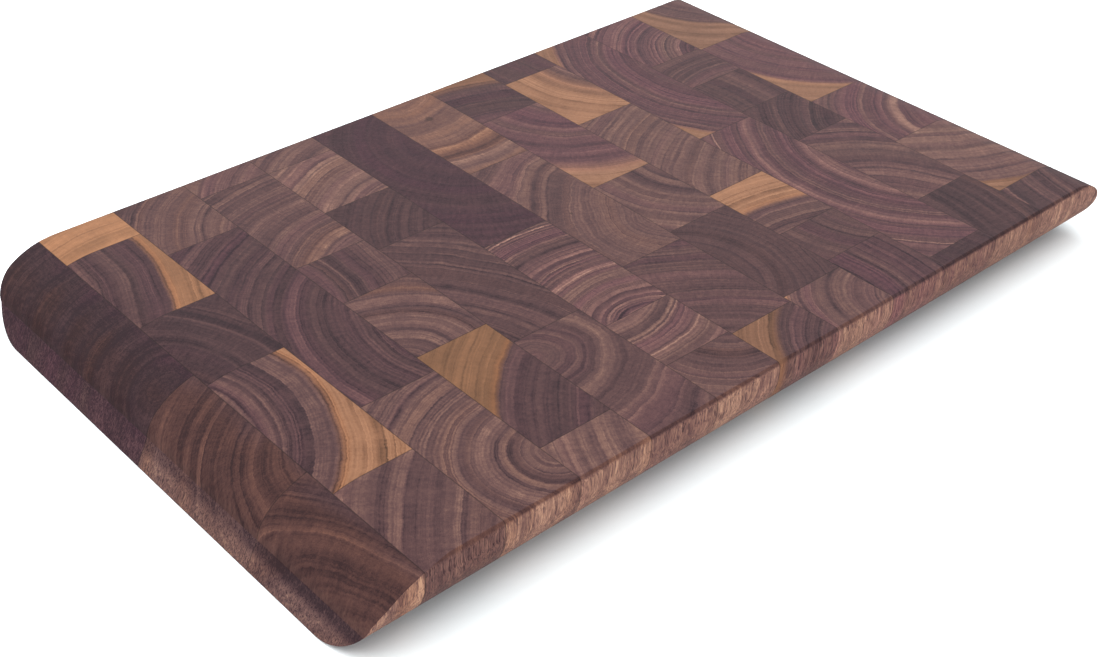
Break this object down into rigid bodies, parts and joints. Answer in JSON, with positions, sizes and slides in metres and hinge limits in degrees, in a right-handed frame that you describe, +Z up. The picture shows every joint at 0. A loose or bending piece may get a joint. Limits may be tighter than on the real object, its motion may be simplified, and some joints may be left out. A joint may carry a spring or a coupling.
{
  "type": "cutting board",
  "caption": "End-grain walnut cutting board glued up from blocks, with one end rolled over, a rounded nose at the other end and rounded-under sides.",
  "frame": {"origin": "middle of the underside, on the surface the board lies on", "axes": "+X along the board from the rolled end to the nose, +Y across it, +Z up through its thickness"},
  "size_m": [0.464, 0.288, 0.034],
  "materials": {
    "walnut_dark": "satin oiled end grain",
    "walnut_brown": "satin oiled end grain",
    "walnut_pale": "satin oiled end grain"
  },
  "bodies": {
    "root": {"strip_01_block_1": "walnut_dark", "strip_01_block_2": "walnut_brown", "strip_01_block_3": "walnut_brown", "strip_02_block_1": "walnut_pale", "strip_02_block_2": "walnut_dark", "strip_02_block_3": "walnut_dark", "strip_02_block_4": "walnut_brown", "strip_02_block_5": "walnut_brown", "strip_03_block_1": "walnut_brown", "strip_03_block_2": "walnut_dark", "strip_03_block_3": "walnut_brown", "strip_04_block_1": "walnut_brown", "strip_04_block_2": "walnut_brown", "strip_04_block_3": "walnut_dark", "strip_04_block_4": "walnut_brown", "strip_04_block_5": "walnut_pale", "strip_04_block_6": "walnut_brown", "strip_05_block_1": "walnut_brown", "strip_05_block_2": "walnut_pale", "strip_05_block_3": "walnut_dark", "strip_05_block_4": "walnut_dark", "strip_05_block_5": "walnut_brown", "strip_06_block_1": "walnut_dark", "strip_06_block_2": "walnut_brown", "strip_06_block_3": "walnut_brown", "strip_06_block_4": "walnut_dark", "strip_07_block_1": "walnut_brown", "strip_07_block_2": "walnut_dark", "strip_07_block_3": "walnut_dark", "strip_07_block_4": "walnut_dark", "strip_08_block_1": "walnut_dark", "strip_08_block_2": "walnut_brown", "strip_08_block_3": "walnut_brown", "strip_08_block_4": "walnut_dark", "strip_08_block_5": "walnut_dark", "strip_09_block_1": "walnut_dark", "strip_09_block_2": "walnut_brown", "strip_09_block_3": "walnut_brown", "strip_09_block_4": "walnut_brown", "strip_09_block_5": "walnut_dark", "strip_09_block_6": "walnut_dark", "strip_10_block_1": "walnut_brown", "strip_10_block_2": "walnut_pale", "strip_10_block_3": "walnut_dark", "strip_11_block_1": "walnut_brown", "strip_11_block_2": "walnut_dark", "strip_11_block_3": "walnut_dark", "strip_11_block_4": "walnut_dark", "strip_11_block_5": "walnut_brown", "strip_11_block_6": "walnut_dark", "strip_12_block_1": "walnut_pale", "strip_12_block_2": "walnut_brown", "strip_12_block_3": "walnut_brown", "strip_12_block_4": "walnut_brown", "strip_12_block_5": "walnut_dark"}
  },
  "joints": []
}
